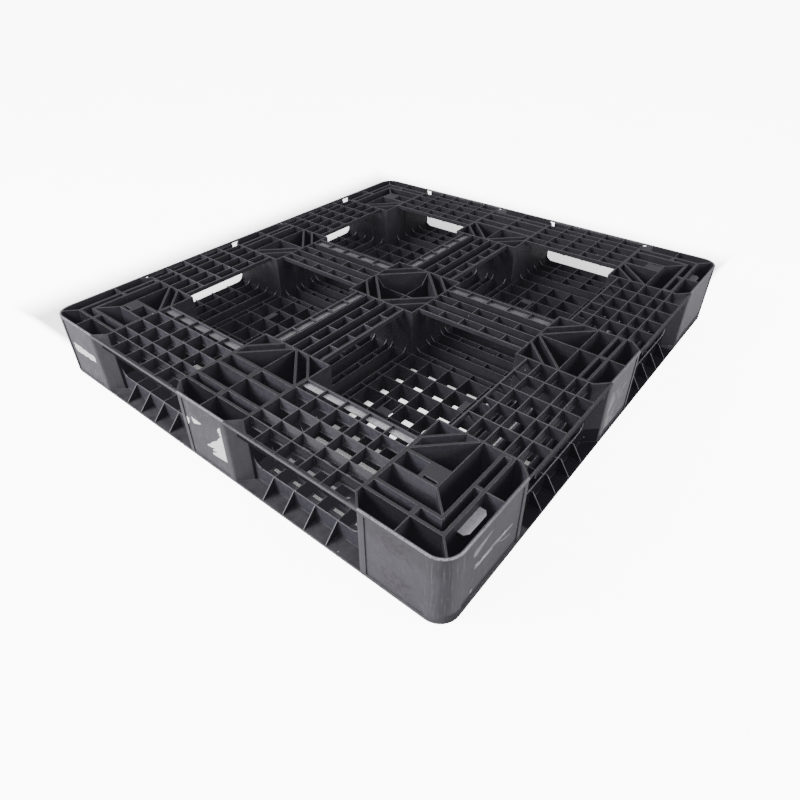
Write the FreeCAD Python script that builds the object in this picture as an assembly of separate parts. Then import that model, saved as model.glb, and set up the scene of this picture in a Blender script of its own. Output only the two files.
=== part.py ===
import FreeCAD, Part
import math
import os

# Four-way double-deck plastic pallet: two ribbed decks joined by nine blocks.
# Frame: origin at the centre of the footprint on the ground, +X right along the
# 1100 mm side, +Y to the rear along the 1200 mm side, +Z up. Millimetres.
# Pieces are drawn for the front right quarter (+X, -Y) and mirrored.

V = FreeCAD.Vector

# ---- overall size ---------------------------------------------------------
LENGTH_X = 1100.0
LENGTH_Y = 1200.0
HEIGHT = 150.0
R_CORNER = 38.0        # outer vertical corner radius
HALF_X, HALF_Y = LENGTH_X / 2, LENGTH_Y / 2

# ---- thicknesses ----------------------------------------------------------
T_WALL = 3.0           # block wall on the fork and window sides
T_OUTER = 4.8          # block wall on the outer faces
T_RIB = 1.9            # deck rib
T_DIAG = 4.6           # diagonal block rib
T_THICK = 6.0          # thick block rib
OVERLAP = 1.0          # how far a piece runs into the wall it joins

# ---- plan grid, distances from the centre ---------------------------------
PITCH = 53.0                       # cross-rib pitch
MID = 94.0                         # wall centre line of the middle blocks
END = MID + 5 * PITCH              # wall centre line of the corner blocks
CROSS = [MID + i * PITCH for i in range(1, 5)]
MID_HALF = MID + T_WALL / 2        # outer face of a middle block
CORNER_IN = END - T_WALL / 2       # tunnel-side face of a corner block

# ---- block outline --------------------------------------------------------
CHAMFER = 27.0         # plan chamfer at the fork side of the outer blocks
R_FACE = 11.0          # round between an outer face and its chamfer
R_SIDE = 4.0           # round between the chamfer and the fork side

# ---- tiers ----------------------------------------------------------------
Z_LOW = 40.0           # top of the lower deck
Z_UP = HEIGHT - 24.0   # underside of the upper deck

# ---- lower deck rib lines, distances from the centre ----------------------
TRAY = [96.0, 149.0, 202.0, 255.0, 307.0, 359.0]   # tray under each window
LOWER_MID = [18.7, 37.4, 77.0, 96.0]               # middle beams
SIDE_LINES = [359.0, 377.0, 415.0, 449.0, 489.5]   # side beams, along X
FRONT_LINES = [359.0, 408.0, 450.0, 488.0, 525.0]  # front and rear beams, along Y
BEAM_X = 521.5         # outer beam wall on the X sides
BEAM_Y = 567.0         # outer beam wall on the Y sides


# ---- solids and mirrors ---------------------------------------------------
def closed(points):
    return Part.makePolygon(points + [points[0]])


def wire(points, z):
    return closed([V(x, y, z) for x, y in points])


def prism(points, z0, z1):
    return Part.Face(wire(points, z0)).extrude(V(0, 0, z1 - z0))


def box(x0, x1, y0, y1, z0, z1):
    x0, x1 = min(x0, x1), max(x0, x1)
    y0, y1 = min(y0, y1), max(y0, y1)
    return Part.makeBox(x1 - x0, y1 - y0, z1 - z0, V(x0, y0, z0))


def x_rib(y, x0, x1, z0, z1, thick=T_RIB):
    return box(x0, x1, y - thick / 2, y + thick / 2, z0, z1)


def y_rib(x, y0, y1, z0, z1, thick=T_RIB):
    return box(x - thick / 2, x + thick / 2, y0, y1, z0, z1)


def bar(start, end, thick, z0, z1, extend=0.0):
    """Straight rib between two plan points, lengthened by extend at both ends."""
    dx, dy = end[0] - start[0], end[1] - start[1]
    length = math.hypot(dx, dy)
    ux, uy = dx / length, dy / length
    px, py = -uy * thick / 2, ux * thick / 2
    ax, ay = start[0] - ux * extend, start[1] - uy * extend
    bx, by = end[0] + ux * extend, end[1] + uy * extend
    return prism([(ax + px, ay + py), (bx + px, by + py),
                  (bx - px, by - py), (ax - px, ay - py)], z0, z1)


def profile_yz(x, points):
    face = Part.Face(closed([V(x - T_RIB / 2, y, z) for y, z in points]))
    return face.extrude(V(T_RIB, 0, 0))


def profile_xz(y, points):
    face = Part.Face(closed([V(x, y - T_RIB / 2, z) for x, z in points]))
    return face.extrude(V(0, T_RIB, 0))


def fuse(items):
    return items[0].multiFuse(items[1:]).removeSplitter()


def mirror_x(shape):
    return shape.mirror(V(0, 0, 0), V(1, 0, 0))


def mirror_y(shape):
    return shape.mirror(V(0, 0, 0), V(0, 1, 0))


def left_right(shape):
    return [shape, mirror_x(shape)]


def front_rear(shape):
    return [shape, mirror_y(shape)]


def four(shape):
    return [shape, mirror_x(shape), mirror_y(shape), mirror_x(mirror_y(shape))]


# ---- outlines -------------------------------------------------------------
def rounded_rect(half_x, half_y, radius, z):
    inset = radius * (1 - math.sqrt(0.5))
    edges = []
    last = V(radius - half_x, -half_y, z)
    for sx, sy in ((1, -1), (1, 1), (-1, 1), (-1, -1)):
        start = V(sx * (half_x - radius), sy * half_y, z)
        end = V(sx * half_x, sy * (half_y - radius), z)
        if sx == sy:
            start, end = end, start
        middle = V(sx * (half_x - inset), sy * (half_y - inset), z)
        edges.append(Part.makeLine(last, start))
        edges.append(Part.Arc(start, middle, end).toShape())
        last = end
    return Part.Wire(edges)


def loop(points, z):
    """Closed outline; a point is (x, y) or (x, y, corner radius)."""
    count = len(points)
    corners = []           # arc start, arc middle (None if sharp), arc end
    for i in range(count):
        x, y = points[i][:2]
        radius = points[i][2] if len(points[i]) > 2 else 0.0
        if radius <= 0.05:
            corners.append((V(x, y, z), None, V(x, y, z)))
            continue
        ax, ay = points[i - 1][0] - x, points[i - 1][1] - y
        bx, by = points[(i + 1) % count][0] - x, points[(i + 1) % count][1] - y
        len_a, len_b = math.hypot(ax, ay), math.hypot(bx, by)
        ax, ay, bx, by = ax / len_a, ay / len_a, bx / len_b, by / len_b
        half = math.acos(max(-1.0, min(1.0, ax * bx + ay * by))) / 2
        tangent = radius / math.tan(half)
        cx, cy = ax + bx, ay + by
        len_c = math.hypot(cx, cy)
        rise = radius / math.sin(half) - radius
        corners.append((V(x + ax * tangent, y + ay * tangent, z),
                        V(x + cx / len_c * rise, y + cy / len_c * rise, z),
                        V(x + bx * tangent, y + by * tangent, z)))
    edges = []
    for i in range(count):
        start, middle, end = corners[i]
        if middle is not None:
            edges.append(Part.Arc(start, middle, end).toShape())
        edges.append(Part.makeLine(end, corners[(i + 1) % count][0]))
    return Part.Wire(edges)


# Each block outline takes the height, the inset of the fork-side walls and the
# inset of the outer faces.
def chamfer_terms(inset, outer):
    """Chamfer ends on the fork side and outer face, then the rounds there."""
    diagonal = inset * math.sqrt(2)
    return (CHAMFER + diagonal - inset, CHAMFER + diagonal - outer,
            max(R_SIDE - inset, 0.0), max(R_FACE - outer, 0.0))


def corner_outline(z, inset=0.0, outer=0.0):
    fork, face, r_side, r_face = chamfer_terms(inset, outer)
    x0, y0 = CORNER_IN + inset, -(CORNER_IN + inset)
    x1, y1 = HALF_X - outer, -(HALF_Y - outer)
    return loop([(x0, y0), (HALF_X - fork, y0, r_side), (x1, -(CORNER_IN + face), r_face),
                 (x1, y1, R_CORNER - outer), (CORNER_IN + face, y1, r_face),
                 (x0, -(HALF_Y - fork), r_side)], z)


def front_outline(z, inset=0.0, outer=0.0):
    fork, face, r_side, r_face = chamfer_terms(inset, outer)
    x = MID_HALF - inset
    y0, y1 = -(CORNER_IN + inset), -(HALF_Y - outer)
    return loop([(-x, y0), (x, y0), (x, -(HALF_Y - fork), r_side),
                 (MID_HALF - face, y1, r_face), (-(MID_HALF - face), y1, r_face),
                 (-x, -(HALF_Y - fork), r_side)], z)


def right_outline(z, inset=0.0, outer=0.0):
    fork, face, r_side, r_face = chamfer_terms(inset, outer)
    y = MID_HALF - inset
    x0, x1 = CORNER_IN + inset, HALF_X - outer
    return loop([(x0, -y), (HALF_X - fork, -y, r_side), (x1, -(MID_HALF - face), r_face),
                 (x1, MID_HALF - face, r_face), (HALF_X - fork, y, r_side), (x0, y)], z)


def centre_outline(z, inset=0.0, outer=0.0):
    # the centre block has no outer face, so outer is not used
    half = MID_HALF - inset
    return wire([(-half, -half), (half, -half), (half, half), (-half, half)], z)


def sheet(wires):
    return Part.makeFace(wires, "Part::FaceMakerBullseye")


def shell(outline, z0, z1):
    return sheet([outline(z0), outline(z0, T_WALL, T_OUTER)]).extrude(V(0, 0, z1 - z0))


def solid(outline, z0, z1):
    return Part.Face(outline(z0)).extrude(V(0, 0, z1 - z0))


# ---- ribs inside the blocks -----------------------------------------------
CORNER_DIAGONALS = [60.0, 92.0]    # leg along each wall, from the block's inner corner
FRAME_X = 450.0                    # long ribs of the corner block's inner frame
FRAME_Y = -490.0
# thick ribs of the corner block: x0, x1, y0, y1
CORNER_THICK = [
    (488.0, 493.5, -537.0, -362.5),                   # two ribs along Y
    (507.0, 512.8, -560.0, -362.5),
    (CORNER_IN + OVERLAP, 493.5, -537.0, -530.8),     # two ribs along X
    (CORNER_IN + OVERLAP, 512.8, -560.0, -554.5),
    (488.0, 512.8, -366.5, -361.0),                   # links between the pairs
    (488.0, 512.8, -454.0, -447.5),
    (447.0, 455.5, -560.0, -531.0),
    (CORNER_IN + OVERLAP, CORNER_IN + 7.0, -560.0, -417.0),   # doubled fork wall
]
# 45 degree ribs of the outer middle blocks: start off the mid-line, end extension
MID_DIAGONALS = [(34.0, 0.0), (0.0, 0.4)]
FRONT_THICK_Y = [(-455.0, -448.5), (-489.0, -482.5), (-537.0, -530.8), (-560.0, -554.5)]
RIGHT_THICK_X = [(489.0, 494.0), (507.0, 512.5)]
CENTRE_DIAG_START = 36.0           # short diagonals of the centre block
CENTRE_T_DIAG = T_DIAG + 0.6       # long diagonals of the centre block
REACH = MID_HALF - OVERLAP         # half length of a rib across a middle block


def corner_ribs(z0, z1):
    x_in, y_in = CORNER_IN, -CORNER_IN
    ribs = [bar((x_in + leg, y_in), (x_in, y_in - leg), T_DIAG, z0, z1, 1.0)
            for leg in CORNER_DIAGONALS]
    # inner frame round the square cell
    ribs.append(y_rib(FRAME_X, y_in - OVERLAP, -491.5, z0, z1))
    ribs.append(x_rib(-451.5, x_in + OVERLAP, FRAME_X, z0, z1, T_THICK))
    ribs.append(x_rib(FRAME_Y, x_in + OVERLAP, 451.5, z0, z1, T_WALL))
    ribs.append(y_rib(413.0, FRAME_Y, -451.5, z0, z1, T_WALL))
    # mitre rib from the inner frame to the outer corner
    ribs.append(bar((FRAME_X, FRAME_Y), (493.0, -533.0), T_WALL, z0, z1))
    ribs.append(bar((506.0, -553.0), (538.5, -588.6), T_WALL, z0, z1, 0.5))
    ribs += [box(*plan, z0, z1) for plan in CORNER_THICK]
    # thin outer ribs
    ribs.append(x_rib(-451.0, 511.0, HALF_X - OVERLAP, z0, z1))
    ribs.append(y_rib(452.0, -HALF_Y + OVERLAP, -558.0, z0, z1))
    return ribs


def front_ribs(z0, z1):
    y_in = -CORNER_IN - OVERLAP
    ribs = []
    for side in (-1, 1):
        for start, extend in MID_DIAGONALS:
            ribs.append(bar((side * start, y_in), (side * MID, y_in - (MID - start)),
                            T_DIAG, z0, z1, extend))
        ribs.append(box(side * 88.5, side * REACH, -560.0, -417.0, z0, z1))
    ribs += [box(-REACH, REACH, y0, y1, z0, z1) for y0, y1 in FRONT_THICK_Y]
    # thin rib on the mid-line, thickened between the cross ribs
    ribs.append(y_rib(0.0, -HALF_Y + OVERLAP, y_in, z0, z1))
    ribs.append(box(-5.5, 5.5, -488.0, -449.5, z0, z1))
    ribs.append(box(-5.5, 5.5, -559.0, -531.5, z0, z1))
    return ribs


def right_ribs(z0, z1):
    x_in = CORNER_IN + OVERLAP
    ribs = []
    for side in (-1, 1):
        for start, extend in MID_DIAGONALS:
            ribs.append(bar((x_in, side * start), (x_in + MID - start, side * MID),
                            T_DIAG, z0, z1, extend))
        ribs.append(box(489.0, 512.5, side * 89.5, side * REACH, z0, z1))
    ribs.append(y_rib(450.0, -REACH, REACH, z0, z1))
    ribs += [box(x0, x1, -REACH, REACH, z0, z1) for x0, x1 in RIGHT_THICK_X]
    # thin rib on the mid-line, thickened between the cross ribs
    ribs.append(x_rib(0.0, x_in, HALF_X - OVERLAP, z0, z1))
    ribs.append(box(491.0, 511.0, -4.0, 4.0, z0, z1))
    return ribs


def centre_ribs(z0, z1):
    near = CENTRE_DIAG_START
    ribs = []
    for sx in (-1, 1):
        for sy in (-1, 1):
            ribs.append(bar((sx * MID, 0.0), (0.0, sy * MID), CENTRE_T_DIAG, z0, z1, 0.4))
            ribs.append(bar((sx * MID, sy * near), (sx * near, sy * MID), T_DIAG, z0, z1, 0.4))
    return ribs


def centre_cross(z0, z1):
    return [x_rib(0.0, -REACH, REACH, z0, z1), y_rib(0.0, -REACH, REACH, z0, z1)]


def centre_ramps(rows):
    """Ramps on the centre cross; a row is (inset from the wall, z)."""
    ramps = []
    for side in (-1, 1):
        points = [(side * (REACH - inset), z) for inset, z in rows]
        ramps += [profile_xz(0.0, points), profile_yz(0.0, points)]
    return ramps


# ---- sunk panels on the blocks' outer faces -------------------------------
PANEL_DEPTH = 2.0
PANEL_Z = (8.0, 143.0)
PANEL_HALF_FRONT = 56.5            # half width on the front and rear middle blocks
PANEL_HALF_SIDE = 57.5             # the same on the side middle blocks
PANEL_CORNER_FRONT = (397.0, 511.0)    # span in X on a corner block
PANEL_CORNER_SIDE = (397.0, 561.0)     # span in Y on a corner block


def make_panels():
    cuts = []
    for side in (-1, 1):
        y_span = (side * HALF_Y - side * PANEL_DEPTH, side * HALF_Y + side)
        x_span = (side * HALF_X - side * PANEL_DEPTH, side * HALF_X + side)
        cuts.append(box(-PANEL_HALF_FRONT, PANEL_HALF_FRONT, *y_span, *PANEL_Z))
        cuts.append(box(*x_span, -PANEL_HALF_SIDE, PANEL_HALF_SIDE, *PANEL_Z))
        for end in (-1, 1):
            cuts.append(box(*[end * x for x in PANEL_CORNER_FRONT], *y_span, *PANEL_Z))
            cuts.append(box(*x_span, *[end * y for y in PANEL_CORNER_SIDE], *PANEL_Z))
    return Part.makeCompound(cuts)


PANELS = make_panels()

# ---- blocks between the decks ---------------------------------------------
R_FOOT = 15.0          # curved foot of a block wall over a deck rib
R_FOOT_BEAM = 20.0     # the same over an outer beam wall
FOOT_ANGLES = (0, 15, 30, 45, 60, 74, 86)
CROSS_TOP = HEIGHT - 27.0          # top of the low cross in the centre block
RAMP_MID = 24.0        # inset of the centre ramps at the deck underside


def foot_points(face, side, radius):
    points = []
    for angle in FOOT_ANGLES:
        turn = math.radians(angle)
        points.append((face + side * (radius - radius * math.cos(turn)),
                       Z_LOW + radius - radius * math.sin(turn)))
    back = face - side * OVERLAP
    return points + [(face + side * radius, Z_LOW), (back, Z_LOW), (back, Z_LOW + radius)]


def foot_x(face, side, y, radius=R_FOOT):
    """Curved foot growing along X from x = face towards side."""
    return profile_xz(y, foot_points(face, side, radius))


def foot_y(face, side, x, radius=R_FOOT):
    """Curved foot growing along Y from y = face towards side."""
    return profile_yz(x, foot_points(face, side, radius))


def make_corner():
    pieces = [shell(corner_outline, Z_LOW, Z_UP)] + corner_ribs(Z_LOW, Z_UP)
    pieces += [foot_x(CORNER_IN, -1, -y) for y in FRONT_LINES[1:]]
    pieces += [foot_y(-CORNER_IN, 1, x) for x in SIDE_LINES[1:]]
    pieces.append(foot_x(CORNER_IN, -1, -BEAM_Y, R_FOOT_BEAM))
    pieces.append(foot_y(-CORNER_IN, 1, BEAM_X, R_FOOT_BEAM))
    return fuse(pieces).cut(PANELS)


def make_front():
    pieces = [shell(front_outline, Z_LOW, Z_UP)] + front_ribs(Z_LOW, Z_UP)
    for y, radius in [(y, R_FOOT) for y in FRONT_LINES[1:]] + [(BEAM_Y, R_FOOT_BEAM)]:
        pieces += [foot_x(side * MID_HALF, side, -y, radius) for side in (1, -1)]
    for x in LOWER_MID[:3]:
        pieces += [foot_y(-CORNER_IN, 1, side * x) for side in (1, -1)]
    return fuse(pieces).cut(PANELS)


def make_right():
    pieces = [shell(right_outline, Z_LOW, Z_UP)] + right_ribs(Z_LOW, Z_UP)
    for x, radius in [(x, R_FOOT) for x in SIDE_LINES[1:]] + [(BEAM_X, R_FOOT_BEAM)]:
        pieces += [foot_y(side * MID_HALF, side, x, radius) for side in (1, -1)]
    for y in LOWER_MID[:3]:
        pieces += [foot_x(CORNER_IN, -1, side * y) for side in (1, -1)]
    return fuse(pieces).cut(PANELS)


def make_centre():
    pieces = [shell(centre_outline, Z_LOW, Z_UP)] + centre_ribs(Z_LOW, Z_UP)
    pieces += centre_cross(Z_LOW, CROSS_TOP)
    pieces += centre_ramps([(0.0, CROSS_TOP), (0.0, Z_UP), (RAMP_MID, Z_UP), (27.0, CROSS_TOP)])
    for line in LOWER_MID[:3]:
        for side in (-1, 1):
            pieces += [foot_x(face * MID_HALF, face, side * line) for face in (1, -1)]
            pieces += [foot_y(face * MID_HALF, face, side * line) for face in (1, -1)]
    return fuse(pieces)


# ---- upper deck -----------------------------------------------------------
# rib lines, distances from the centre; the first is a window edge
UPPER_Y = [418.0, 448.5, 490.0, 531.0, 557.5]      # front and rear rows
UPPER_X = [384.0, 413.6, 450.0, 488.5, 512.5]      # side columns
UPPER_MID = [14.5, 42.5, 70.0]     # middle row and column; the last is a window edge
Z_EDGE = HEIGHT - 8.0              # underside of a window edge
Z_EDGE_LOW = Z_EDGE - 2.2          # underside of its ledge
LEDGE = 12.5                       # ledge width at a window edge
LEDGE_RIM = 6.0                    # ledge width at the front and rear rims
Z_RIM = HEIGHT - 3.0               # top of the front and rear rim ledge
Z_RIM_LOW = Z_RIM - 2.0            # its underside
SIDE_RIM_DEPTH = 9.6
WALL_X = 547.5                     # recessed wall under the side rims
WALL_T = 2.6
WALL_TOP = HEIGHT - 9.6
BEAD_T = 1.6                       # bead at the foot of a rib
BEAD_REACH = 2.6                   # its reach on each side of the rib
# plate with a slot at the top of one corner block cell: x0, x1, y0, y1
SLOT_PLATE = (412.0, 451.0, -491.0, -450.0)
PLATE_SLOT = (419.0, 445.0, -487.0, -481.0)
# tab with cut corners beside the outer thick rib of a corner block: x, y
TAB = [(511.0, -466.0), (524.0, -466.0), (530.0, -474.0), (530.0, -519.0), (524.0, -527.0),
       (511.0, -527.0)]
TAB_Z = (HEIGHT - 22.0, HEIGHT - 19.5)


def deck_rib(rib, line, start, end):
    """Full-depth deck rib and its bead; rib is x_rib or y_rib."""
    return [rib(line, start, end, Z_UP, HEIGHT),
            rib(line, start, end, Z_UP, Z_UP + BEAD_T, T_RIB + 2 * BEAD_REACH)]


def upper_front():
    """Front row between the side block and the corner block."""
    x0, x1 = MID_HALF - OVERLAP, CORNER_IN + OVERLAP
    edge = -UPPER_Y[0]
    pieces = [x_rib(edge, x0, x1, Z_EDGE_LOW, HEIGHT, T_WALL),
              box(x0, x1, edge - T_WALL / 2 - LEDGE, edge, Z_EDGE_LOW, Z_EDGE)]
    for y in UPPER_Y[1:]:
        pieces += deck_rib(x_rib, -y, x0, x1)
    ledge_y = -HALF_Y + T_WALL + LEDGE_RIM
    pieces.append(box(x0, x1, -HALF_Y + OVERLAP, ledge_y, Z_RIM_LOW, Z_RIM))
    rib_y = ledge_y - T_RIB / 2
    pieces.append(x_rib(rib_y, x0, x1, Z_UP, Z_RIM))
    rim_y = -HALF_Y + 2
    points = [(edge, HEIGHT), (edge, Z_EDGE), (-UPPER_Y[1] + 7, Z_UP), (rib_y, Z_UP),
              (rim_y, Z_RIM_LOW), (rim_y, HEIGHT)]
    pieces += [profile_yz(x, points) for x in CROSS]
    return fuse(pieces)


def upper_side():
    """Right column between the side block and the corner block."""
    y0, y1 = -(MID_HALF - OVERLAP), -(CORNER_IN + OVERLAP)
    edge = UPPER_X[0]
    pieces = [y_rib(edge, y0, y1, Z_EDGE_LOW, HEIGHT, T_WALL)]
    for x in UPPER_X[1:]:
        pieces += deck_rib(y_rib, x, y1, y0)
    pieces.append(box(HALF_X - T_WALL, HALF_X, y0, y1, HEIGHT - SIDE_RIM_DEPTH, HEIGHT))
    pieces.append(box(WALL_X - WALL_T, WALL_X, y0, y1, Z_UP, WALL_TOP + OVERLAP))
    wall_x, rim_x = WALL_X - OVERLAP, HALF_X - 2
    points = [(edge, HEIGHT), (edge, Z_EDGE), (UPPER_X[1] - 5, Z_UP), (wall_x, Z_UP),
              (wall_x, WALL_TOP), (rim_x, WALL_TOP), (rim_x, HEIGHT)]
    pieces += [profile_xz(-y, points) for y in CROSS]
    return fuse(pieces)


def upper_middle(direction, rib, cross_rib, profile):
    """Half of the middle row or column, from the centre block outwards."""
    start, end = direction * (MID_HALF - OVERLAP), direction * (CORNER_IN + OVERLAP)
    inner, outer, window = UPPER_MID
    ledge = T_WALL / 2 + LEDGE
    pieces = []
    for side in (-1, 1):
        edge = side * window
        pieces.append(rib(edge, start, end, Z_EDGE_LOW, HEIGHT, T_WALL))
        pieces.append(rib(edge - side * ledge / 2, start, end, Z_EDGE_LOW, Z_EDGE, ledge))
        for line in (inner, outer):
            pieces += deck_rib(rib, side * line, start, end)
        points = [(edge, HEIGHT), (edge, Z_EDGE), (side * (outer + 6), Z_UP),
                  (side * outer, Z_UP), (side * outer, HEIGHT)]
        pieces += [profile(direction * place, points) for place in CROSS]
    pieces += [cross_rib(direction * place, -inner, inner, Z_UP, HEIGHT) for place in CROSS]
    return fuse(pieces)


def upper_corner():
    pieces = [shell(corner_outline, Z_UP, HEIGHT)] + corner_ribs(Z_UP, HEIGHT)
    plate = box(*SLOT_PLATE, HEIGHT - 3.0, HEIGHT)
    pieces.append(plate.cut(box(*PLATE_SLOT, HEIGHT - 4.0, HEIGHT + 1)))
    pieces.append(prism(TAB, *TAB_Z))
    return fuse(pieces)


def upper_centre():
    pieces = [shell(centre_outline, Z_UP, HEIGHT)] + centre_ribs(Z_UP, HEIGHT)
    top = HEIGHT - 3
    pieces += centre_ramps([(0.0, Z_UP), (0.0, top), (4.0, top), (RAMP_MID, Z_UP)])
    return fuse(pieces)


def make_upper():
    rim = sheet([rounded_rect(HALF_X, HALF_Y, R_CORNER, Z_RIM_LOW),
                 rounded_rect(HALF_X - T_WALL, HALF_Y - T_WALL, R_CORNER - T_WALL, Z_RIM_LOW)])
    pieces = [rim.extrude(V(0, 0, HEIGHT - Z_RIM_LOW))]
    pieces += four(upper_front())
    pieces += four(upper_side())
    pieces += left_right(upper_middle(1, x_rib, y_rib, profile_yz))
    pieces += front_rear(upper_middle(-1, y_rib, x_rib, profile_xz))
    pieces += four(upper_corner())
    pieces += front_rear(fuse([shell(front_outline, Z_UP, HEIGHT)] + front_ribs(Z_UP, HEIGHT)))
    pieces += left_right(fuse([shell(right_outline, Z_UP, HEIGHT)] + right_ribs(Z_UP, HEIGHT)))
    pieces.append(upper_centre())
    return fuse(pieces).cut(PANELS)


# ---- lower deck -----------------------------------------------------------
HALF_RIB = T_RIB / 2
SIDE_EXTRA = 1.5       # extra half thickness of the side beam's third rib
BASE = 5.0             # base plate outside the beam wall
FLOOR = 3.0            # floor of a block and of the closed beam cells
SLOT_LENGTH = 46.0     # drain slot in a closed beam cell
SLOT_WIDTH = 8.5
SLOT_CUT_BACK = 7.0    # the third slot of the inner row starts this much later
R_ROW_HOLE = 3.5       # round hole in the fourth cell of the inner row
R_DRAIN = 4.0          # drain hole in a block floor
# drain hole centres: x, y
CORNER_DRAINS = [
    (375.0, -376.0), (430.0, -472.0), (470.0, -400.0), (382.0, -505.0), (470.0, -510.0),
    (500.0, -410.0), (400.0, -546.0), (500.0, -500.0), (530.0, -420.0), (530.0, -500.0),
    (420.0, -580.0), (490.0, -580.0)]
FRONT_DRAINS = [(side * x, -y) for side in (-1, 1) for x, y in (
    (18.0, 370.0), (70.0, 370.0), (78.0, 440.0), (48.0, 470.0), (48.0, 510.0), (48.0, 546.0),
    (40.0, 580.0))]
RIGHT_DRAINS = [(x, side * y) for side in (-1, 1) for x, y in (
    (370.0, 18.0), (370.0, 70.0), (435.0, 78.0), (470.0, 48.0), (500.0, 48.0), (530.0, 40.0))]
CENTRE_DRAINS = [(sx * d, sy * d) for sx in (-1, 1) for sy in (-1, 1) for d in (20.0, 78.0)]
# small plates in two cells of each tray: x0, x1, y0, y1
FRAME_PLATE = [
    (165.0, 196.0, -TRAY[3] - 49, -TRAY[3] - 33),
    (165.0, 167.5, -TRAY[4] - OVERLAP, -TRAY[3] + OVERLAP),
    (192.5, 196.0, -TRAY[4] - OVERLAP, -TRAY[3] + OVERLAP)]
EDGE_PLATE = (TRAY[4] - 14.0, TRAY[4], -198.0, -165.0)
TRAY_PLATE_Z = (Z_LOW - 3.0, Z_LOW - 0.5)


def cells(xs, ys):
    """Openings x0, x1, y0, y1 between consecutive rib lines."""
    return [(x0 + HALF_RIB, x1 - HALF_RIB, y0 + HALF_RIB, y1 - HALF_RIB)
            for x0, x1 in zip(xs, xs[1:]) for y0, y1 in zip(ys, ys[1:])]


def lower_openings():
    ends = [TRAY[0], TRAY[5]]
    inner, wide, outer = LOWER_MID[0:2], LOWER_MID[1:3], LOWER_MID[2:4]
    thick_x = SIDE_LINES[2]
    quarter = cells(TRAY, TRAY)
    # front beam
    quarter += cells(TRAY, FRONT_LINES[:2])
    quarter += cells(ends, FRONT_LINES[1:3])
    quarter += cells(TRAY, FRONT_LINES[2:] + [BEAM_Y])
    # side beam
    quarter += cells(SIDE_LINES[:2], TRAY)
    quarter += cells([SIDE_LINES[1], thick_x - SIDE_EXTRA], ends)
    quarter += cells([thick_x + SIDE_EXTRA] + SIDE_LINES[3:] + [BEAM_X], TRAY)
    # halves of the middle beams
    quarter += cells(inner, TRAY) + cells(outer, TRAY) + cells(wide, ends)
    quarter += cells(TRAY, inner) + cells(TRAY, outer) + cells(ends, wide)
    openings = [(sx * x0, sx * x1, sy * y0, sy * y1) for x0, x1, y0, y1 in quarter
                for sx in (-1, 1) for sy in (-1, 1)]
    # long cells on the centre lines
    half = LOWER_MID[0] - HALF_RIB
    near, far = TRAY[0] + HALF_RIB, TRAY[5] - HALF_RIB
    for side in (-1, 1):
        openings.append((-half, half, side * near, side * far))
        openings.append((side * near, side * far, -half, half))
    return openings


def lower_grid():
    half_x, half_y = BEAM_X + HALF_RIB, BEAM_Y + HALF_RIB
    wires = [wire([(-half_x, -half_y), (half_x, -half_y), (half_x, half_y),
                   (-half_x, half_y)], 0.0)]
    for xa, xb, ya, yb in lower_openings():
        x0, x1 = sorted((xa, xb))
        y0, y1 = sorted((ya, yb))
        wires.append(wire([(x0, y0), (x1, y0), (x1, y1), (x0, y1)], 0.0))
    grid = sheet(wires).extrude(V(0, 0, Z_LOW))
    # clear the block footprints
    z_span = (-1, Z_LOW + 1)
    feet = four(solid(corner_outline, *z_span))
    feet += front_rear(solid(front_outline, *z_span))
    feet += left_right(solid(right_outline, *z_span))
    feet.append(solid(centre_outline, *z_span))
    return grid.cut(Part.makeCompound(feet))


def closed_front_rows():
    """Floor under the two outer rows of the front beam, with drain slots."""
    inner_y, outer_y = -FRONT_LINES[3], -FRONT_LINES[4]
    floor = box(TRAY[0] - OVERLAP, TRAY[5] - 0.5, inner_y, -BEAM_Y, 0, FLOOR)

    def slot(x0, x1, line_y):
        edge = line_y - HALF_RIB
        return box(x0, x1, edge - SLOT_WIDTH, edge, -1, FLOOR + 1)

    cuts = []
    for i in range(5):
        middle = (TRAY[i] + TRAY[i + 1]) / 2
        x0, x1 = middle - SLOT_LENGTH / 2, middle + SLOT_LENGTH / 2
        cuts.append(slot(x0, x1, outer_y))
        if i < 3:
            cuts.append(slot(x0 + (SLOT_CUT_BACK if i == 2 else 0.0), x1, inner_y))
        if i == 3:
            cuts.append(Part.makeCylinder(R_ROW_HOLE, FLOOR + 2,
                                          V(TRAY[i] + 6.0, inner_y - 6.5, -1)))
    return floor.cut(Part.makeCompound(cuts))


def base_wing(edge, side):
    """Plate end under a block chamfer: (distance along the face, depth from it)."""
    root = edge - side * 0.5
    tip = edge + side * (CHAMFER + 7)
    return [(root, 0), (tip, 0), (tip, 2), (edge + side * (CHAMFER - 1.3), 2),
            (root, CHAMFER + 1.2)]


WINGS = [base_wing(CORNER_IN, 1), base_wing(MID_HALF, -1)]


def front_base():
    """Base plate outside the front beam wall, with sloping gussets."""
    plate = fuse([box(MID_HALF, CORNER_IN, -HALF_Y, -BEAM_Y, 0, BASE)]
                 + [prism([(a, -HALF_Y + depth) for a, depth in wing], 0, BASE)
                    for wing in WINGS])
    toe = -HALF_Y + 1.0
    gusset = [(-BEAM_Y, 0), (-BEAM_Y, Z_LOW), (toe, BASE + 1.5), (toe, 0)]
    return fuse([plate] + [profile_yz(x, gusset) for x in CROSS])


def side_base():
    """Base plate outside the right beam wall, with sloping gussets."""
    plate = fuse([box(BEAM_X, HALF_X, -CORNER_IN, -MID_HALF, 0, BASE)]
                 + [prism([(HALF_X - depth, -a) for a, depth in wing], 0, BASE)
                    for wing in WINGS])
    toe = HALF_X - 1.0
    gusset = [(BEAM_X, 0), (BEAM_X, Z_LOW), (BEAM_X + 6.5, Z_LOW), (toe, BASE + 1.5), (toe, 0)]
    return fuse([plate] + [profile_xz(-y, gusset) for y in CROSS])


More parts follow.
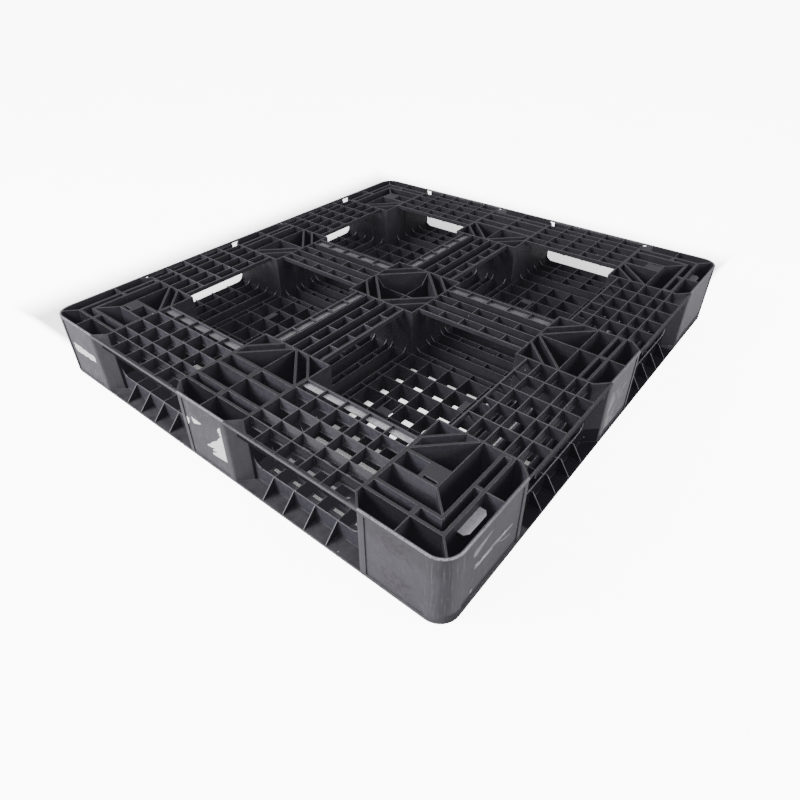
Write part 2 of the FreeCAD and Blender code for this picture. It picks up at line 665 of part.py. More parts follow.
def block_foot(outline, ribs, drains):
    """Walls and ribs of a block in the lower deck, on a floor with drain holes."""
    holes = [Part.makeCylinder(R_DRAIN, FLOOR + 2, V(x, y, -1)) for x, y in drains]
    floor = solid(outline, 0.0, FLOOR).cut(Part.makeCompound(holes))
    return fuse([shell(outline, 0, Z_LOW)] + ribs + [floor])


def make_lower():
    pieces = [lower_grid()]
    pieces += four(closed_front_rows())
    pieces += four(box(SIDE_LINES[4], BEAM_X, -TRAY[5] + 0.5, -TRAY[0] + OVERLAP, 0, FLOOR))
    pieces += four(front_base())
    pieces += four(side_base())
    pieces += four(block_foot(corner_outline, corner_ribs(0, Z_LOW), CORNER_DRAINS))
    pieces += front_rear(block_foot(front_outline, front_ribs(0, Z_LOW), FRONT_DRAINS))
    pieces += left_right(block_foot(right_outline, right_ribs(0, Z_LOW), RIGHT_DRAINS))
    pieces.append(block_foot(centre_outline, centre_ribs(0, Z_LOW) + centre_cross(0, Z_LOW),
                             CENTRE_DRAINS))
    pieces += four(fuse([box(*plan, *TRAY_PLATE_Z) for plan in FRAME_PLATE]))
    pieces += four(box(*EDGE_PLATE, *TRAY_PLATE_Z))
    return fuse(pieces).cut(PANELS)


# ---- torn label remains on the front panels; points are x, z --------------
PAPER = 0.35
LABELS = {
    "label_front_main": [
        (56.2, 129.0), (50.9, 124.5), (44.4, 117.4), (43.8, 112.0), (46.2, 109.6), (50.4, 110.6),
        (45.4, 105.4), (50.5, 103.0), (46.3, 97.9), (43.2, 95.8), (40.4, 91.5), (37.6, 89.6),
        (35.7, 85.7), (28.9, 80.6), (24.6, 78.4), (19.2, 73.6), (12.1, 67.9), (9.8, 64.0),
        (5.6, 60.9), (1.4, 58.6), (-3.8, 54.2), (0.4, 52.9), (8.7, 54.4), (16.3, 56.2),
        (22.1, 57.4), (17.0, 53.4), (11.8, 50.3), (13.0, 47.8), (21.5, 50.2), (27.8, 53.2),
        (24.0, 49.6), (20.7, 47.0), (14.6, 44.4), (9.0, 40.8), (9.8, 38.1), (17.8, 37.5),
        (27.5, 38.7), (38.5, 39.4), (46.5, 40.8), (55.6, 41.6), (55.9, 60.7), (56.2, 77.7),
        (55.5, 89.5), (56.2, 108.4)],
    "label_front_scrap": [
        (-37.5, 105.6), (-34.0, 104.2), (-30.8, 102.6), (-27.4, 104.4), (-24.2, 103.8),
        (-20.6, 103.4), (-17.7, 102.2), (-13.0, 102.8), (-8.6, 101.9), (-12.6, 98.7),
        (-17.4, 97.2), (-22.7, 94.6), (-29.0, 92.5), (-34.7, 91.0), (-35.7, 94.8),
        (-37.5, 99.6)],
    "label_front_edge": [
        (-56.2, 97.2), (-52.4, 96.8), (-47.6, 96.3), (-49.2, 90.4), (-50.5, 84.6),
        (-53.4, 80.6), (-56.2, 77.4)],
    "label_left_strip": [
        (-496.0, 88.0), (-489.0, 87.8), (-480.0, 86.5), (-471.0, 87.6), (-463.0, 87.0),
        (-455.0, 84.5), (-448.0, 86.2), (-440.0, 85.5), (-432.0, 83.6), (-424.0, 84.6),
        (-414.0, 85.6), (-407.0, 85.0), (-404.0, 81.5), (-406.4, 76.0), (-405.5, 70.5),
        (-411.0, 68.8), (-418.0, 69.2), (-425.0, 66.8), (-432.0, 66.5), (-439.0, 68.9),
        (-446.0, 68.5), (-452.0, 66.0), (-459.0, 67.9), (-466.0, 67.5), (-474.0, 66.2),
        (-481.0, 66.8), (-488.0, 66.0), (-493.0, 69.0), (-497.0, 75.0), (-495.2, 81.0)],
}


def make_label(points):
    outline = closed([V(x, -HALF_Y + PANEL_DEPTH, z) for x, z in points])
    return Part.Face(outline).extrude(V(0, -PAPER, 0))


def main():
    os.makedirs("parts", exist_ok=True)
    nodes = {"upper_deck": make_upper(), "lower_deck": make_lower()}
    places = ("front_right", "front_left", "rear_right", "rear_left")
    for place, shape in zip(places, four(make_corner())):
        nodes["corner_block_" + place] = shape
    nodes["side_block_front"], nodes["side_block_rear"] = front_rear(make_front())
    nodes["side_block_right"], nodes["side_block_left"] = left_right(make_right())
    nodes["centre_block"] = make_centre()
    for name, points in LABELS.items():
        nodes[name] = make_label(points)
    for name, shape in nodes.items():
        solids = shape.Solids
        result = solids[0] if len(solids) == 1 else Part.makeCompound(solids)
        result.exportStep(os.path.join("parts", name + ".step"))


main()
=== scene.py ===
# A black moulded plastic pallet with paper labels, on a pale studio floor.
# It stands on z = 0, centred on the origin. Front is -Y and right is +X.
# Its nine blocks lie in three rows and three columns.
import bpy
import bmesh
from mathutils import Matrix, Vector

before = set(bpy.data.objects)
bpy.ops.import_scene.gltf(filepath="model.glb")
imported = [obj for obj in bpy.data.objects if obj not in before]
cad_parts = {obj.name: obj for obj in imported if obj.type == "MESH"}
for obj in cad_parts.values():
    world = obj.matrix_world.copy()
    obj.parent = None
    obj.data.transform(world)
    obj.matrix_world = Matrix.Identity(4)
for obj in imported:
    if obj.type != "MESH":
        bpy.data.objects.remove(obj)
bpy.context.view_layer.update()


# ---------------------------------------------------------------- node helpers
def put(socket, value):
    """Link a Field to an input, or set the input's value."""
    if isinstance(value, Field):
        socket.id_data.links.new(value.socket, socket)
    else:
        socket.default_value = value


def add_node(tree, kind, inputs=None, **settings):
    """Add a node and return its first output."""
    node = tree.nodes.new(kind)
    for name, value in settings.items():
        setattr(node, name, value)
    for key, value in (inputs or {}).items():
        put(node.inputs[key], value)
    return Field(node.outputs[0])


class Field:
    """An output socket. Operators and methods add nodes; a | b is the larger of the two."""

    def __init__(self, socket):
        self.socket = socket

    def add(self, kind, inputs, **settings):
        return add_node(self.socket.id_data, kind, inputs, **settings)

    def output(self, key):
        """Another output of the same node."""
        return Field(self.socket.node.outputs[key])

    def math(self, operation, *others):
        operands = dict(enumerate((self, *others)))
        return self.add("ShaderNodeMath", operands, operation=operation)

    def __mul__(self, other):
        return self.math("MULTIPLY", other)

    def __add__(self, other):
        return self.math("ADD", other)

    def __sub__(self, other):
        return self.math("SUBTRACT", other)

    def __rsub__(self, other):
        return self.add("ShaderNodeMath", {0: other, 1: self}, operation="SUBTRACT")

    def __or__(self, other):
        return self.math("MAXIMUM", other)

    def __abs__(self):
        return self.math("ABSOLUTE")

    def ramp(self, low, high, start=0.0, end=1.0, interpolation="SMOOTHSTEP"):
        """Go from start to end as the value goes from low to high."""
        inputs = {"Value": self, "From Min": low, "From Max": high, "To Min": start, "To Max": end}
        return self.add("ShaderNodeMapRange", inputs,
                        interpolation_type=interpolation).output("Result")

    def rise(self, low, high):
        return self.ramp(low, high)

    def fall(self, low, high):
        return self.ramp(low, high, start=1.0, end=0.0)

    def band(self, low, high, soft=0.0004):
        """1 between low and high, with edges blurred by soft to each side."""
        return self.rise(low - soft, low + soft) * self.fall(high - soft, high + soft)

    def mix(self, base, top):
        """Mix two colours, with this field as the share of top."""
        # Inputs 6 and 7 and output 2 are the colour sockets.
        mixed = self.add("ShaderNodeMix", {"Factor": self, 6: base, 7: top},
                         data_type="RGBA", blend_type="MIX")
        return mixed.output(2)

    def split(self):
        parts = self.add("ShaderNodeSeparateXYZ", {0: self})
        return [parts.output(i) for i in range(3)]

    def noise(self, scale, detail, rough, distortion=0.0):
        inputs = {"Vector": self, "Scale": scale, "Detail": detail,
                  "Roughness": rough, "Distortion": distortion}
        return self.add("ShaderNodeTexNoise", inputs).output("Fac")

    def scaled(self, scale, rotation=(0, 0, 0)):
        return self.add("ShaderNodeMapping",
                        {"Vector": self, "Scale": scale, "Rotation": rotation})


class Coat:
    """A colour built up in layers."""

    def __init__(self, colour):
        self.colour = colour

    def paint(self, mask, colour, strength=None):
        if strength is not None:
            mask = mask * strength
        self.colour = mask.mix(self.colour, colour)


def hypotenuse(first, second):
    return (first * first + second * second).math("SQRT")


def new_material(name):
    material = bpy.data.materials.new(name)
    material.use_nodes = True
    material.node_tree.nodes.clear()
    return material


def object_position(material):
    return add_node(material.node_tree, "ShaderNodeTexCoord").output("Object")


def set_surface(material, surface):
    output = material.node_tree.nodes.new("ShaderNodeOutputMaterial")
    put(output.inputs[0], surface)


# ---------------------------------------------------------------- black plastic
HEIGHT = 0.150
LOWER_SEAM, UPPER_SEAM = 0.040, 0.126  # heights kept free of edge wear
SEAM_HALF = 0.002
CORNER_CENTRE = (0.512, 0.562)         # plan centre of the rounded corners
# Low and high limits, for |x| or |y| unless noted
CORNER_X = (0.5105, 0.5125)
CORNER_Y = (0.5605, 0.5625)
GAP = (0.0962, 0.3568)                 # between neighbouring blocks
WIDE_GAP = (0.0690, 0.3840)
CORNER_BLOCK = (0.357, 0.360)          # |x| where the corner blocks begin
RIM_WALL = (0.1250, 0.1402)            # z of the recessed wall below the side rims
WALL_TOP = (0.0385, 0.0415)            # z of the tops of the lower walls
FRONT = (-0.9, -0.5)                   # y of the normal on walls that face forward

# Share of dust haze taken off each outer face, which also paints light face by face; below zero
# adds haze
FRONT_LEFT, FRONT_RIGHT = -0.03, 0.34
RIGHT_NEAR, RIGHT_MIDDLE, RIGHT_FAR = 0.30, -0.20, 0.10
CORNER_LOSS = 0.30
PAINTED_GLOW = 0.0058                        # painted light: a faint glow of the plastic that keeps deep cells from full black

VIOLET = (1.0, 0.95, 1.20)
HAZE = (1.0, 0.955, 1.075)


def grey(level, tint=HAZE):
    return (level * tint[0], level * tint[1], level * tint[2], 1.0)


black = new_material("black_plastic")
position = object_position(black)
x, y, z = position.split()
geometry = add_node(black.node_tree, "ShaderNodeNewGeometry")
normal_x, normal_y, normal_z = geometry.output("True Normal").split()
abs_x = abs(x)
abs_y = abs(y)
steep_x = abs(normal_x)
steep_y = abs(normal_y)

# Facing masks: upright walls, level faces and the topmost level faces
side = abs(normal_z).fall(0.3, 0.5)
up = normal_z.rise(0.7, 0.9)
top = up * z.rise(HEIGHT - 0.0012, HEIGHT - 0.0006)

# Outer faces, their rounded corners and the diagonal plan chamfers
outer_x = steep_x.rise(0.35, 0.95) * abs_x.rise(0.5462, 0.5474) * side
outer_y = steep_y.rise(0.35, 0.95) * abs_y.rise(0.5962, 0.5974) * side
corner_radius = hypotenuse(abs_x - CORNER_CENTRE[0], abs_y - CORNER_CENTRE[1])
corner = (abs_x.rise(*CORNER_X) * abs_y.rise(*CORNER_Y)
          * corner_radius.rise(0.0362, 0.0372) * side)
diagonal = steep_x.rise(0.45, 0.6) * steep_y.rise(0.45, 0.6) * side
chamfer = diagonal * (abs_y.rise(0.570, 0.573) * abs_x.fall(0.400, 0.410)
                      | abs_x.rise(0.520, 0.523) * abs_y.fall(0.400, 0.410))

# The side rims are shallow, and the wall below them is recessed
gap_y = abs_y.band(*GAP)
outer_x = outer_x * (1.0 - gap_y * z.band(*RIM_WALL))
gap_x = abs_x.band(*GAP)
shaded_recess = (normal_x.rise(0.5, 0.9) * x.rise(0.5465, 0.5470) * gap_y * z.band(*RIM_WALL)
          | normal_y.fall(*FRONT) * y.band(-0.5940, -0.5895) * gap_x * z.band(0.1250, 0.1462))
wide_gap_y = abs_y.band(*WIDE_GAP)
wide_gap_x = abs_x.band(*WIDE_GAP)
side_rim = outer_x * wide_gap_y * z.rise(0.1396, 0.1404)
outer = outer_x | outer_y | corner

# Variation, from broad to microscopic
broad = position.noise(7.0, detail=4.0, rough=0.55)
clouds = position.noise(46.0, detail=5.0, rough=0.6)
mottle = position.noise(150.0, detail=4.0, rough=0.6, distortion=0.6)
grain = position.noise(420.0, detail=4.0, rough=0.65)
micro = position.noise(1500.0, detail=3.0, rough=0.7)
streaks = position.scaled((26.0, 26.0, 5.0)).noise(6.0, detail=5.0, rough=0.6, distortion=0.4)
scratch_x = position.scaled((90.0, 700.0, 700.0), rotation=(0.1, 0.0, 0.5))
scratch_y = position.scaled((800.0, 60.0, 800.0), rotation=(0.0, 0.2, -0.3))
scratch = (scratch_x.noise(1.0, detail=3.0, rough=0.6).rise(0.62, 0.72)
           | scratch_y.noise(1.0, detail=3.0, rough=0.6).rise(0.64, 0.74))

# Bare plastic
coat = Coat(grey(0.0135, VIOLET))
coat.paint(broad.rise(0.3, 0.7), grey(0.0195, VIOLET))
coat.paint(clouds.ramp(0.45, 0.8, end=0.6), grey(0.027, VIOLET))


def block_lines(distance):
    """The middle and the two outer lines of blocks."""
    return distance.fall(0.0940, 0.0965) | distance.rise(0.3565, 0.3590)


blocks = block_lines(abs_x) * block_lines(abs_y)
right_column = x.rise(0.355, 0.365) * y.rise(-0.365, -0.355)
front_right = x.rise(0.355, 0.365) * y.fall(-0.365, -0.355) * z.rise(0.006, 0.012)
coat.paint(front_right, grey(0.032, VIOLET), strength=0.45)

# A thin grey dust film on walls that face forward, partly painted light: these walls face the key
# light, and the film thins towards the rear
film_and_front_light = (normal_y.fall(-0.95, -0.5)
        * mottle.ramp(0.35, 0.7, start=0.5)
        * z.ramp(0.05, 0.13, start=0.85)
        * (y.rise(-0.556, -0.550) | z.fall(0.10, 0.12))
        * y.ramp(-0.42, 0.05, start=1.0, end=0.12)
        * (1.0 - blocks * x.ramp(-0.30, 0.25, start=0.55, end=0.0))
        * (1.0 - right_column * 0.55))
coat.paint(film_and_front_light, grey(0.082, VIOLET), strength=0.72)

# Three forward walls of the upper tier: a dusty one and a paler one on the right, and one darkened
# as painted shade behind the front rim
facing = normal_y.fall(*FRONT)
upper_tier = z.rise(0.1255, 0.1265)
coat.paint(facing * upper_tier * y.band(-0.5335, -0.5290) * x.rise(0.0, 0.15)
           * grain.ramp(0.3, 0.6, start=0.6), grey(0.125), strength=0.62)
coat.paint(facing * upper_tier * y.band(-0.4925, -0.4885) * x.rise(0.0, 0.15),
           grey(0.120), strength=0.30)
# Painted shade: the front rim shades this wall
coat.paint(facing * upper_tier * y.band(-0.5602, -0.5555), grey(0.008, VIOLET), strength=0.7)

# Settled dust, overall and on the lowest level faces
dust = (normal_z.rise(0.15, 0.9) * clouds.ramp(0.25, 0.75, start=0.35)
        * (1.0 - top * 0.75))
coat.paint(dust, grey(0.085), strength=0.16)
coat.paint(up * z.band(0.0025, 0.0068) * clouds.ramp(0.3, 0.7, start=0.2, end=0.7), grey(0.055))
# Paler, speckled floor in the front outer cells: dust, and painted light in place of the bounce
# light that reaches it
coat.paint(up * z.band(0.0020, 0.0040) * abs_y.band(0.4890, 0.5650)
           * abs_x.fall(*CORNER_BLOCK) * grain.ramp(0.3, 0.6, start=0.6), grey(0.17))

# Two thin lines on the low forward step between the corner blocks
step = (facing * y.band(-0.4905, -0.4870)
        * (z.band(0.0195, 0.0225) | z.band(0.0048, 0.0070))
        * abs_x.fall(*CORNER_BLOCK) * grain.ramp(0.25, 0.55, start=0.5))
coat.paint(step, grey(0.30), strength=0.8)
coat.paint(up * z.band(*WALL_TOP) * grain.ramp(0.3, 0.7, start=0.3, end=0.75), grey(0.050))

# Painted shade in the narrow lane outside the side beams
lane_shade = (abs_x.rise(0.5214, 0.5221) * z.fall(0.0380, 0.0398)
        * abs_y.fall(0.352, 0.360) * (1.0 - outer_x))
coat.paint(lane_shade, grey(0.007, VIOLET))

# Speckled top of the outer beam walls
coat.paint(up * z.band(*WALL_TOP)
           * (abs_y.band(0.5645, 0.5695) | abs_x.band(0.5195, 0.5235))
           * grain.ramp(0.30, 0.62, start=0.15), grey(0.20))

# Dusty bead along the foot of the deck ribs
coat.paint(up * z.band(0.1268, 0.1286) * grain.ramp(0.30, 0.60, start=0.35)
           * y.ramp(-0.3, 0.3, start=0.9, end=0.35), grey(0.125))

# Painted highlights: pale lines on the curved feet of the blocks and on the sloping gussets
highlit_slope = normal_z.rise(0.10, 0.25) * normal_z.fall(0.93, 0.985)
coat.paint(highlit_slope * z.band(0.0405, 0.0620) * mottle.ramp(0.3, 0.6, start=0.45), grey(0.24))
coat.paint(highlit_slope * z.band(0.0062, 0.0402)
           * (abs_y.rise(0.5665, 0.5680) | abs_x.rise(0.5205, 0.5225)),
           grey(0.16), strength=0.8)

# Tops of the upper ribs, rubbed grey, and paler between the blocks
coat.paint(top * grain.ramp(0.28, 0.72, start=0.45) * clouds.ramp(0.25, 0.7, start=0.55),
           grey(0.016))
coat.paint(top * (1.0 - blocks) * abs_y.fall(0.575, 0.585) * abs_x.fall(0.530, 0.535)
           * grain.ramp(0.3, 0.65, start=0.35)
           * y.ramp(-0.35, 0.15, start=0.9, end=0.25), grey(0.052))

# Dusty tabs near the corners, strongest at the front right
tab = (up * z.band(0.1292, 0.1316) * abs_x.rise(0.5105, 0.5135) * abs_y.band(0.460, 0.530)
       * (x.rise(0.0, 0.1) * y.fall(-0.1, 0.0) | 0.25)
       * grain.ramp(0.3, 0.6, start=0.75) * mottle.ramp(0.3, 0.45, start=0.8))
coat.paint(tab, grey(0.44))

# Speckled ledges: two that run along x, one that runs along y
ledge = up * z.band(HEIGHT - 0.0092, HEIGHT - 0.0068)
ledge_lines = (y.band(-0.433, -0.417, soft=0.001) * x.ramp(-0.20, 0.15, start=0.20, end=0.72)
               | y.band(0.054, 0.070, soft=0.001) * x.ramp(-0.20, 0.15, start=0.20, end=0.17)
               | x.band(-0.071, -0.055, soft=0.001) * 0.28)
speckle = grain.ramp(0.3, 0.62, start=0.45) * clouds.ramp(0.2, 0.6, start=0.6)
coat.paint(ledge * ledge_lines * speckle, grey(0.56, (1.0, 0.985, 1.03)))

# Dust haze on the outer faces. Its strength, set face by face and fading to the right along the
# front, is also painted light from the key light at the front left
on_front = normal_y.fall(-0.9, -0.4)
on_right = normal_x.rise(0.4, 0.9)
haze_and_light_level = broad.ramp(0.2, 0.8, start=0.78, end=0.90)
for loss in (
    on_front * x.ramp(-0.50, 0.50, start=FRONT_LEFT, end=FRONT_RIGHT, interpolation="LINEAR"),
    on_right * y.ramp(-0.42, -0.06, start=RIGHT_NEAR, end=RIGHT_MIDDLE),
    on_right * y.ramp(0.10, 0.40, start=0.0, end=RIGHT_FAR),
    corner * diagonal * CORNER_LOSS,
):
    haze_and_light_level = haze_and_light_level * (1.0 - loss)
hazy_chamfer = chamfer * 0.82 * normal_x.rise(0.2, 0.6) * abs_y.ramp(0.55, 0.572, start=0.04)
haze_and_light = ((outer | hazy_chamfer) * streaks.ramp(0.3, 0.75, start=0.80) * haze_and_light_level
        * grain.ramp(0.25, 0.75, start=0.90, end=1.06) * (1.0 - side_rim * 0.90))
coat.paint(haze_and_light, grey(0.125))

# Brownish smudges on the front face of the front right block
smudge_noise = position.scaled((120.0, 120.0, 190.0)).noise(1.0, detail=3.0, rough=0.6)
smudge = (x.band(0.424, 0.486, soft=0.006) * z.band(0.100, 0.138, soft=0.004)
          | x.band(0.428, 0.487, soft=0.006) * z.band(0.016, 0.056, soft=0.004))
coat.paint(smudge * outer_y * on_front * smudge_noise.rise(0.47, 0.56),
           (0.050, 0.041, 0.048, 1), strength=0.52)
# Painted shade on the recessed walls below the rims
coat.paint(shaded_recess, grey(0.006, VIOLET))

# Fine scratches
coat.paint(outer * scratch * clouds.ramp(0.4, 0.7, start=0.05, end=0.35),
           grey(0.26, (1.0, 0.99, 1.0)))

# Upright rub marks round the corners: close set across x + y, long in z
rub_place = position.add("ShaderNodeCombineXYZ", {0: (x + y) * 190.0, 1: z * 14.0})
rub = (outer * abs_x.rise(0.500, 0.512) * abs_y.rise(0.545, 0.562)
       * rub_place.noise(1.0, detail=4.0, rough=0.65).rise(0.52, 0.70)
       * z.band(0.012, 0.140, soft=0.010))
coat.paint(rub, grey(0.20), strength=0.42)


def stroke(start, end, start_half, end_half):
    """Soft line between two (y, z) points, tapering between two half widths."""
    run_y = end[0] - start[0]
    run_z = end[1] - start[1]
    length_squared = run_y * run_y + run_z * run_z
    along = (y - start[0]).math("MULTIPLY_ADD", run_y / length_squared,
                                (z - start[1]) * (run_z / length_squared))
    along = (along | 0.0).math("MINIMUM", 1.0)
    distance = hypotenuse(y - start[0] - along * run_y, z - start[1] - along * run_z)
    half_width = along.math("MULTIPLY_ADD", end_half - start_half, start_half)
    return distance.math("DIVIDE", half_width).fall(0.55, 1.0)


# White marks on the right side; each last factor is the mark's strength
right_face = outer_x * normal_x.rise(0.5, 0.9) * x.rise(0.5, 0.54)
brushed = position.scaled((1.0, 70.0, 620.0), rotation=(0.12, 0.0, 0.0)).noise(
    1.0, detail=3.0, rough=0.6)
swirl = position.scaled((1.0, 22.0, 15.0), rotation=(0.5, 0.0, 0.0)).noise(
    1.0, detail=4.0, rough=0.6, distortion=2.2)
marks = (
    # Front right block
    stroke((-0.5265, 0.1110), (-0.4836, 0.1206), 0.0095, 0.0008)
    * brushed.ramp(0.30, 0.60, start=0.45) * 0.34
    | stroke((-0.5235, 0.0780), (-0.4420, 0.0757), 0.0068, 0.0048)
    * brushed.rise(0.44, 0.58) * 0.80
    | stroke((-0.4480, 0.0760), (-0.4187, 0.0741), 0.0016, 0.0012) * 0.75
    | stroke((-0.4520, 0.0643), (-0.4221, 0.0533), 0.0011, 0.0009) * 0.45
    | stroke((-0.5325, 0.0245), (-0.5300, 0.0275), 0.0022, 0.0018) * 0.7
    # Right middle block
    | swirl.rise(0.40, 0.62) * y.band(-0.054, 0.030, soft=0.012)
    * z.band(0.022, 0.098, soft=0.016) * 0.30
    | stroke((-0.0400, 0.1080), (-0.0500, 0.0600), 0.0030, 0.0036)
    * grain.ramp(0.35, 0.6, start=0.4) * 0.35
)
coat.paint(right_face * marks, (0.60, 0.59, 0.60, 1))

# Pale smears on the front faces, weaker to the right
smear_noise = position.scaled((40.0, 1.0, 26.0)).noise(
    1.0, detail=4.0, rough=0.6, distortion=1.2)
coat.paint(outer_y * on_front * smear_noise.rise(0.50, 0.72)
           * x.ramp(0.0, 0.30, start=0.20, end=0.05), grey(0.30))

# Bright rubbed line on the front and rear rims, and painted shade on the ledge inside it
coat.paint(outer_y * gap_x * z.rise(0.1440, 0.1450), grey(0.040))
coat.paint(outer_y * gap_x * z.rise(0.1455, 0.1475) * grain.ramp(0.3, 0.65, start=0.55),
           grey(0.20), strength=0.62)
# Painted shade on the ledge inside the rim
coat.paint(up * z.band(0.1462, 0.1478) * abs_y.rise(0.588, 0.590), grey(0.020, VIOLET))

# Darker near the ground, in a deeper band on the right faces
ragged_z = z + clouds * 0.006
low_dark_band = (outer * (1.0 - on_right) * ragged_z.fall(0.006, 0.018) * 0.30
         | outer * normal_x.rise(0.55, 0.95) * ragged_z.fall(0.019, 0.027) * 0.93)
coat.paint(low_dark_band, grey(0.018, VIOLET))

# Light wear and painted highlight on every edge, where the bevelled and the plain normals part
bevel = position.add("ShaderNodeBevel", {"Radius": 0.0011}, samples=6)
agreement = bevel.add("ShaderNodeVectorMath", {0: bevel, 1: geometry.output("Normal")},
                      operation="DOT_PRODUCT").output("Value")
seam = (z.band(LOWER_SEAM - SEAM_HALF, LOWER_SEAM + SEAM_HALF)
        | z.band(UPPER_SEAM - SEAM_HALF, UPPER_SEAM + SEAM_HALF))
edge_wear_and_highlight = (agreement.fall(0.80, 0.995) * (1.0 - seam * side)
        * clouds.ramp(0.3, 0.7, start=0.35) * grain.ramp(0.3, 0.6, start=0.5)
        * y.ramp(-0.6, 0.6, start=1.0, end=0.70))
coat.paint(edge_wear_and_highlight, outer.mix(grey(0.210), grey(0.190)), strength=1.0)

# Chalky line round the top edge of the blocks' outer walls
chalk = (abs_y.rise(0.5955, 0.5975) | abs_x.rise(0.5460, 0.5478)
         | abs_x.rise(*CORNER_X) * abs_y.rise(*CORNER_Y) * corner_radius.rise(0.0335, 0.0355))
chalk = (chalk * (top | outer * z.rise(HEIGHT - 0.0020, HEIGHT - 0.0008))
         * (1.0 - wide_gap_y * abs_x.rise(0.53, 0.54))
         * (1.0 - wide_gap_x * abs_y.rise(0.58, 0.59) * 0.85)
         * grain.ramp(0.32, 0.58, start=0.25) * mottle.ramp(0.30, 0.55, start=0.55)
         * y.ramp(-0.60, -0.45, start=1.0, end=0.45))
coat.paint(chalk, grey(0.36), strength=0.85)

# Rubbed line along the foot of the front faces
foot = (outer * normal_y.fall(*FRONT) * z.fall(0.0022, 0.0042)
        * mottle.ramp(0.3, 0.6, start=0.5))
coat.paint(foot, grey(0.30), strength=0.55)

# Stray white specks, in some of the cells only
cells = position.add("ShaderNodeTexVoronoi", {"Vector": position, "Scale": 36.0})
cell_pick = cells.output("Color").split()[0]
speck = (cells.output("Distance").fall(0.030, 0.050) * cell_pick.rise(0.60, 0.64)
         * (1.0 - outer))
coat.paint(speck, grey(0.40), strength=0.8)

roughness = (clouds.ramp(0.2, 0.8, start=0.40, end=0.54)
             + outer * 0.10 + dust * 0.20 + scratch * 0.08)

# Relief in metres: moulded grain, sink marks and scratches
relief = micro * 0.00006 + grain * 0.00012 + clouds * 0.0010 - scratch * 0.00005
bump = position.add("ShaderNodeBump",
                    {"Strength": 0.55, "Distance": 1.0, "Height": relief, "Normal": bevel})

# Dark hollows shine less. The plastic glows faintly as painted light in place of bounce light, and
# the deep front cells glow more
matte = shaded_recess | side_rim * 0.8 | lane_shade
deep_cell_glow = (z.fall(0.0385, 0.0400) * y.fall(-0.452, -0.449) * y.rise(-0.5650, -0.5640)
        * abs_x.fall(*CORNER_BLOCK))
set_surface(black, position.add("ShaderNodeBsdfPrincipled", {
    "Base Color": coat.colour,
    "Roughness": roughness,
    "Normal": bump,
    "IOR": 1.49,
    "Specular IOR Level": matte.math("MULTIPLY_ADD", -0.33, 0.36),
    "Emission Color": grey(1.0, VIOLET),
    "Emission Strength": deep_cell_glow.math("MULTIPLY_ADD", 2.6 * PAINTED_GLOW, PAINTED_GLOW),
}))


# ---------------------------------------------------------------- other materials
def label_paper():
    """Off-white paper with fibres and grey stains."""
    material = new_material("label_paper")
    place = object_position(material)
    fibres = place.scaled((1.0, 1.0, 3.0)).noise(900.0, detail=4.0, rough=0.7)
    stains = place.noise(170.0, detail=4.0, rough=0.6)
    sheet = Coat((0.95, 0.945, 0.95, 1))
    sheet.paint(place.noise(60.0, detail=5.0, rough=0.6).rise(0.35, 0.75),
                (0.82, 0.815, 0.825, 1))
    sheet.paint(fibres.ramp(0.55, 0.8, end=0.35), (0.52, 0.51, 0.52, 1))
    sheet.paint(stains.ramp(0.60, 0.72, end=0.55), (0.36, 0.35, 0.37, 1))
    relief = place.add("ShaderNodeBump",
                       {"Strength": 0.4, "Distance": 1.0, "Height": fibres * 0.0001})
    set_surface(material, place.add("ShaderNodeBsdfPrincipled", {
        "Base Color": sheet.colour, "Roughness": 0.75, "Normal": relief}))
    return material


def pale_floor():
    """Near-white sweep: bright to the camera, dimmer as a bounce surface."""
    material = new_material("pale_floor")
    place = object_position(material)
    patches = place.noise(2.0, detail=3.0, rough=0.5)

    def shade(kind, light, dark):
        return place.add(kind, {"Color": patches.rise(0.3, 0.7).mix(light, dark)})

    bounce = shade("ShaderNodeBsdfDiffuse", (0.44, 0.44, 0.44, 1), (0.40, 0.40, 0.405, 1))
    seen = shade("ShaderNodeBsdfDiffuse", (0.93, 0.93, 0.93, 1), (0.90, 0.90, 0.905, 1))
    glow = shade("ShaderNodeEmission", (1.0, 1.0, 1.0, 1), (0.98, 0.98, 0.985, 1))

    # Full glow in the open, little below the pallet, left of it and behind it, which paints a soft
    # shadow there;
    # the patch below the front right is a painted pool of light. The last factors are glow
    # strengths.
    x, y, _ = place.split()
    around = (x.rise(0.49, 0.52) | y.fall(-0.57, -0.54)
              | x.fall(-1.02, -0.80) | y.rise(0.84, 1.08))
    light_pool = (x.rise(0.08, 0.13) * x.fall(0.34, 0.39)
             * (y.rise(-0.347, -0.338) * y.fall(-0.13, -0.08)))
    left = x.fall(-0.62, -0.54) * 1.2
    rear = y.rise(0.58, 0.64) * 0.55
    put(glow.socket.node.inputs["Strength"], around * 9.0 | light_pool * 2.0 | left | rear | 0.14)

    bright = place.add("ShaderNodeAddShader", {0: seen, 1: glow})
    camera_ray = add_node(material.node_tree, "ShaderNodeLightPath").output("Is Camera Ray")
    set_surface(material, place.add("ShaderNodeMixShader",
                                    {0: camera_ray, 1: bounce, 2: bright}))
    return material


paper = label_paper()
for name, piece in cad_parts.items():
    piece.data.materials.clear()
    piece.data.materials.append(paper if name.startswith("label") else black)

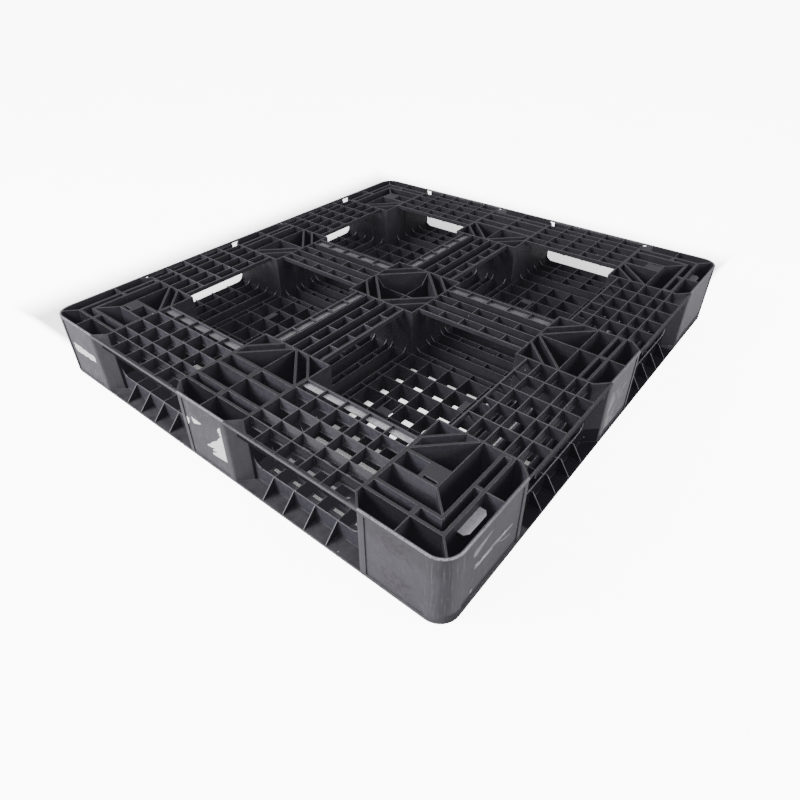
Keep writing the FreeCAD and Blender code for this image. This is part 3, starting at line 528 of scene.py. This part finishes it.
# ---------------------------------------------------------------- stage
mesh = bpy.data.meshes.new("floor")
disc = bmesh.new()
bmesh.ops.create_circle(disc, cap_ends=True, radius=40.0, segments=96)
disc.to_mesh(mesh)
disc.free()
floor = bpy.data.objects.new("floor", mesh)
bpy.context.scene.collection.objects.link(floor)
floor.location = (0, 0, -0.0004)
mesh.materials.append(pale_floor())

# White world, brighter to the camera so the backdrop looks as pale as the floor
world = bpy.data.worlds.new("studio")
bpy.context.scene.world = world
world.use_nodes = True
background = world.node_tree.nodes["Background"]
put(background.inputs[0], (1.0, 1.0, 1.0, 1))
seen_by_camera = add_node(world.node_tree, "ShaderNodeLightPath").output("Is Camera Ray")
put(background.inputs[1], seen_by_camera.math("MULTIPLY_ADD", 2.2, 0.62))


def area_light(name, place, target, size, power):
    light = bpy.data.lights.new(name, "AREA")
    light.shape = "RECTANGLE"
    light.size, light.size_y = size
    light.energy = power
    lamp = bpy.data.objects.new(name, light)
    bpy.context.scene.collection.objects.link(lamp)
    lamp.location = place
    aim = Vector(target) - Vector(place)
    lamp.rotation_euler = aim.to_track_quat("-Z", "Y").to_euler()


area_light("key", place=(-1.5, -3.0, 2.1), target=(0, -0.2, 0.05), size=(2.0, 1.4), power=230)
area_light("fill", place=(3.2, 0.6, 1.5), target=(0, 0, 0.05), size=(1.8, 1.4), power=94)
area_light("over", place=(0.0, 0.2, 3.2), target=(0, 0, 0), size=(2.6, 2.6), power=30)

# ---------------------------------------------------------------- camera
lens = bpy.data.cameras.new("camera")
lens.sensor_width = 36.0
lens.lens = 26.850
lens.shift_x = 0.01374
lens.shift_y = -0.03187
lens.clip_start = 0.01
lens.clip_end = 200
camera = bpy.data.objects.new("camera", lens)
bpy.context.scene.collection.objects.link(camera)
camera_place = Vector((0.80602, -1.02026, 0.81728))
camera_right = Vector((0.769355, 0.638706, -0.012173))
camera_down = Vector((0.364785, -0.454887, -0.812410))
camera_forward = Vector((-0.524428, 0.620591, -0.582960))
pose = Matrix.Identity(4)
axes = (camera_right, -camera_down, -camera_forward, camera_place)
for column, axis in enumerate(axes):
    for row in range(3):
        pose[row][column] = axis[row]
camera.matrix_world = pose
bpy.context.scene.camera = camera
